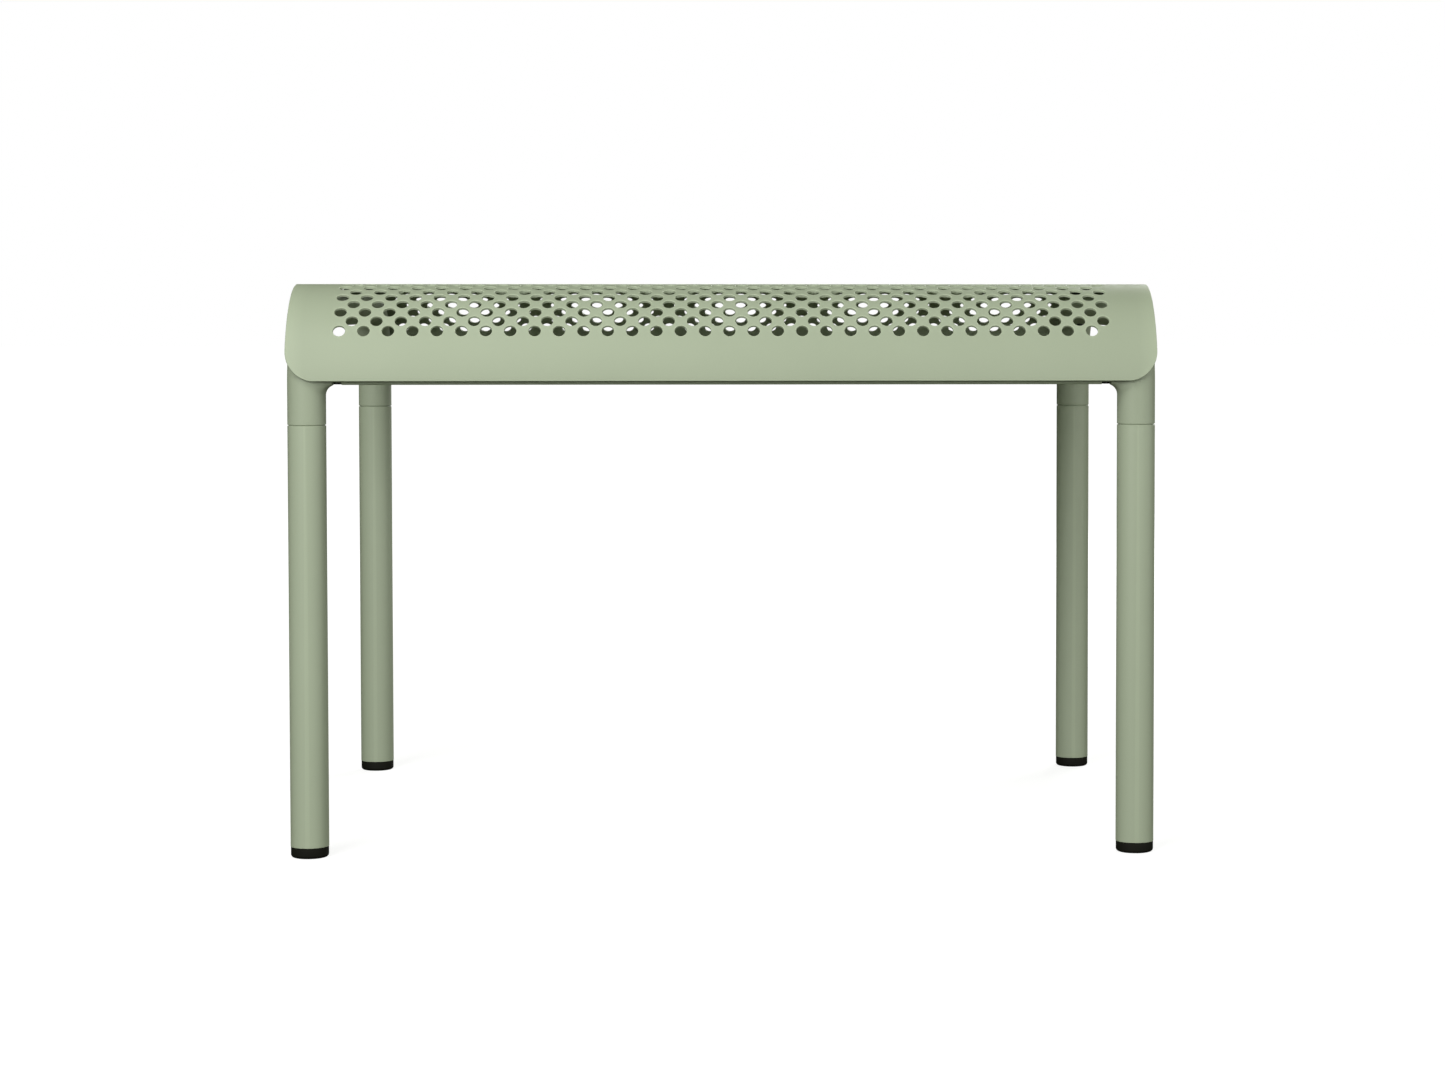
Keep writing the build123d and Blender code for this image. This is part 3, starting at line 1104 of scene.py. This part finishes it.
    def build(self, palette: Palette) -> None:
        """Build all four castings.

        Args:
            palette: The finishes.
        """
        places, faces, normals = self.first_corner()
        for corner in Corner:
            name, (x_sign, y_sign) = corner.node, corner.value
            signs = np.array([-x_sign, -y_sign, 1])
            order = -1 if x_sign * y_sign < 0 else 1
            mesh = bpy.data.meshes.new(f"casting_{name}")
            mesh.from_pydata((places * signs).tolist(), [], [f[::order] for f in faces])
            mesh.shade_smooth()
            mesh.normals_split_custom_set(
                [tuple(np.array(n) * signs) for ring in normals for n in ring[::order]]
            )
            piece = add_piece(f"casting_{name}", mesh)
            dress(piece, palette.cast)
            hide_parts(f"corner_casting_{name}")
            LOG.info("casting %s: %d faces", name, len(faces))


# ---------------------------------------------------------------------- pads
@dataclass
class Pads:
    """Soft strips between the cross tubes and the seat, hollowed for the tube."""

    edge: float = 0.6 * MM
    steps: int = 14
    rings: int = 5
    inset_share: float = 0.5  # of a section's inset, taken off its height

    def section(self, half: float, low: float, top: float, radius: float, inset: float) -> list:
        """Return one closed cross-section as (x, z) pairs.

        Args:
            half: Half width.
            low: Height of the tube's axis.
            top: Height of the flat top.
            radius: Radius of the tube.
            inset: How far this section is drawn in for the rounded end.

        Returns:
            The pairs, round the section.
        """
        wide, sink = half - inset, inset * self.inset_share
        ring = []
        for i in range(self.steps + 1):
            x = -wide + 2 * wide * i / self.steps
            ring.append((x, low + math.sqrt(radius**2 - x**2) + sink))
        quarter = [math.pi / 2 * i / (self.rings - 1) for i in range(self.rings)]
        for side, angles in ((1, quarter), (-1, quarter[::-1])):
            for a in angles:
                x = wide - self.edge * (1 - math.cos(a))
                ring.append((side * x, top - sink - self.edge * (1 - math.sin(a))))
        return ring

    def build(self, palette: Palette) -> None:
        """Build all pads.

        Args:
            palette: The finishes.
        """
        quarter = [math.pi / 2 * i / (self.rings - 1) for i in range(self.rings)]
        ends = [(self.edge * (1 - math.sin(a)), self.edge * (1 - math.cos(a))) for a in quarter]
        for corner in Corner:
            name = corner.node
            low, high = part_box(f"seat_pad_{name}")
            side = "left" if corner.value[0] < 0 else "right"
            tube_low, tube_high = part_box(f"cross_tube_{side}")
            radius = (tube_high.x - tube_low.x) / 2
            middle = (low.x + high.x) / 2
            axis_z = (tube_low.z + tube_high.z) / 2
            sections = [(low.y + along, inset) for inset, along in ends]
            sections += [(high.y - along, inset) for inset, along in ends[::-1]]
            shape = Shape()
            for y, inset in sections:
                ring = self.section((high.x - low.x) / 2, axis_z, high.z, radius, inset)
                shape.points += [(middle + x, y, z) for x, z in ring]
            n = len(shape.points) // len(sections)
            for start in range(0, (len(sections) - 1) * n, n):
                for i in range(n):
                    j = (i + 1) % n
                    quad = (start + i, start + n + i, start + n + j, start + j)
                    shape.faces.append(quad)
            last = (len(sections) - 1) * n
            shape.faces += [tuple(range(n)), tuple(reversed(range(last, last + n)))]
            pad = shape.build(f"soft_pad_{name}")
            dress(pad, palette.rubber)
            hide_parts(f"seat_pad_{name}")
            LOG.info("pad %s", name)


# ----------------------------------------------------------- other hardware
@dataclass(frozen=True)
class Hardware:
    """Pieces whose CAD shape stays and only the finish changes."""

    coated: tuple = ("seat_tab", "rail_front", "rail_back", "cross_tube_left", "cross_tube_right")
    moulded: tuple = ("leg_insert",)
    plated: tuple = ("leg_stud", "seat_nuts")
    blackened: tuple = ("seat_screws", "cross_tube_screws", "rail_screws")

    def build(self, palette: Palette) -> None:
        """Dress the CAD nodes by the start of their names.

        Args:
            palette: The finishes.
        """
        kinds = (
            # rails, tabs and cross tubes take the darker, painted-shade copy of the sage coat
            (self.coated, palette.tube),
            (self.moulded, palette.plastic),
            (self.plated, palette.zinc),
            (self.blackened, palette.screw),
        )
        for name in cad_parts:
            for starts, material in kinds:
                if name.startswith(starts):
                    dress_node(name, material)
                    LOG.info("%s: CAD shape, %s", name, material.name)


# -------------------------------------------------------------------- studio
@dataclass(frozen=True)
class Softbox:
    """One soft light: its place, the point that it faces, its size and power."""

    name: str
    at: tuple
    aim: tuple
    width: float
    height: float
    watts: float

    def build(self) -> None:
        """Add the light."""
        data = bpy.data.lights.new(self.name, "AREA")
        data.shape = "RECTANGLE"
        data.size = self.width
        data.size_y = self.height
        data.energy = self.watts
        lamp = bpy.data.objects.new(self.name, data)
        bpy.context.collection.objects.link(lamp)
        lamp.location = self.at
        lamp.rotation_mode = "QUATERNION"
        toward = Vector(self.aim) - Vector(self.at)
        lamp.rotation_quaternion = toward.to_track_quat("-Z", "Y")


@dataclass
class Studio:
    """Seamless pale floor, soft lights and the camera."""

    sensor: float = 36.0  # mm
    lens: float = 79.4541176  # mm
    camera_at: tuple = (0.00963, -2.74462, 0.43375)
    yaw: float = 0.04127
    pitch: float = 0.04358
    shift_x: float = -0.1003
    shift_y: float = -0.0692
    farthest: float = 200.0
    floor_size: float = 60.0
    floor_grey: tuple = (0.3, 0.3, 0.3)
    floor_glow: float = 0.84  # near the bench, rising to 1 further out
    glow_span: tuple = (0.8, 3.2)
    floor_bounce: tuple = (0.058, 0.064, 0.036)
    surround: tuple = (0.112, 0.122, 0.076)
    lights: tuple = (
        Softbox("key_light", (-1.3, -2.6, 1.15), (0, -0.1, 0.35), 1.3, 1.4, 49.0),
        Softbox("fill_light", (1.5, -2.7, 0.68), (0, -0.1, 0.35), 1.2, 0.7, 18.5),
        Softbox("side_light", (2.6, -0.7, 0.75), (0, 0.1, 0.30), 1.2, 0.9, 14.0),
        Softbox("top_light", (-0.9, -1.7, 2.5), (0, -0.2, 0.40), 1.4, 1.0, 25.0),
        Softbox("back_light", (1.5, 2.7, 1.6), (0, 0.1, 0.35), 1.4, 1.6, 64.0),
    )

    def floor(self) -> None:
        """Lay a large pale floor, lit up to the white of the surround."""
        s = self.floor_size / 2
        mesh = bpy.data.meshes.new("studio_floor")
        corners = [(-s, -s, 0), (s, -s, 0), (s, s, 0), (-s, s, 0)]
        mesh.from_pydata(corners, [], [(0, 1, 2, 3)])
        ground = bpy.data.objects.new("studio_floor", mesh)
        bpy.context.collection.objects.link(ground)
        material = bpy.data.materials.new("pale_floor")
        tree = empty_tree(material)
        ray = add_node(tree, "LightPath")
        bounce = add_node(tree, "BsdfDiffuse", {"Color": (*self.floor_bounce, 1)})
        seen = add_node(tree, "BsdfDiffuse", {"Color": (*self.floor_grey, 1)})
        place = add_node(tree, "TexCoord").outputs["Object"]
        away = add_node(tree, "VectorMath", {0: place}, operation="LENGTH")
        strength = map_range(
            tree,
            away.outputs["Value"],
            self.glow_span,
            (self.floor_glow, 1.0),
            interpolation_type="SMOOTHSTEP",
        )
        glow = add_node(tree, "Emission", {"Color": WHITE, "Strength": strength})
        lit = add_node(tree, "AddShader", {0: seen.outputs[0], 1: glow.outputs[0]})
        both = add_node(
            tree,
            "MixShader",
            {0: ray.outputs["Is Camera Ray"], 1: bounce.outputs[0], 2: lit.outputs[0]},
        )
        add_node(tree, "OutputMaterial", {"Surface": both.outputs[0]})
        mesh.materials.append(material)

    def world(self) -> None:
        """Surround the bench with white that lights it only softly."""
        world = bpy.data.worlds.new("white_surround")
        tree = empty_tree(world)
        ray = add_node(tree, "LightPath")
        glow = mix_colours(tree, ray.outputs["Is Camera Ray"], (*self.surround, 1), WHITE)
        back = add_node(tree, "Background", {"Color": glow, "Strength": 1.0})
        add_node(tree, "OutputWorld", {"Surface": back.outputs[0]})
        bpy.context.scene.world = world

    def camera(self) -> None:
        """Set the camera."""
        data = bpy.data.cameras.new("view_camera")
        data.sensor_fit = "HORIZONTAL"
        data.sensor_width = self.sensor
        data.lens = self.lens
        data.shift_x = self.shift_x
        data.shift_y = self.shift_y
        data.clip_end = self.farthest
        camera = bpy.data.objects.new("view_camera", data)
        bpy.context.collection.objects.link(camera)
        camera.location = self.camera_at
        camera.rotation_mode = "XYZ"
        camera.rotation_euler = (math.pi / 2 - self.pitch, 0, -self.yaw)
        bpy.context.scene.camera = camera

    def build(self) -> None:
        """Set up the whole studio."""
        self.floor()
        self.world()
        for softbox in self.lights:
            softbox.build()
        self.camera()
        bpy.context.scene.view_settings.view_transform = "Standard"
        LOG.info("studio ready")


def main() -> None:
    """Build the bench's visible pieces, then the studio."""
    logging.basicConfig(level=logging.INFO, format="%(name)s: %(message)s")
    palette, seam = Palette(), Seam()
    SeatSheet().build(palette)
    Legs(seam).build(palette)
    Casting(seam).build(palette)
    Pads().build(palette)
    Hardware().build(palette)
    Studio().build()


if __name__ == "__main__":
    main()
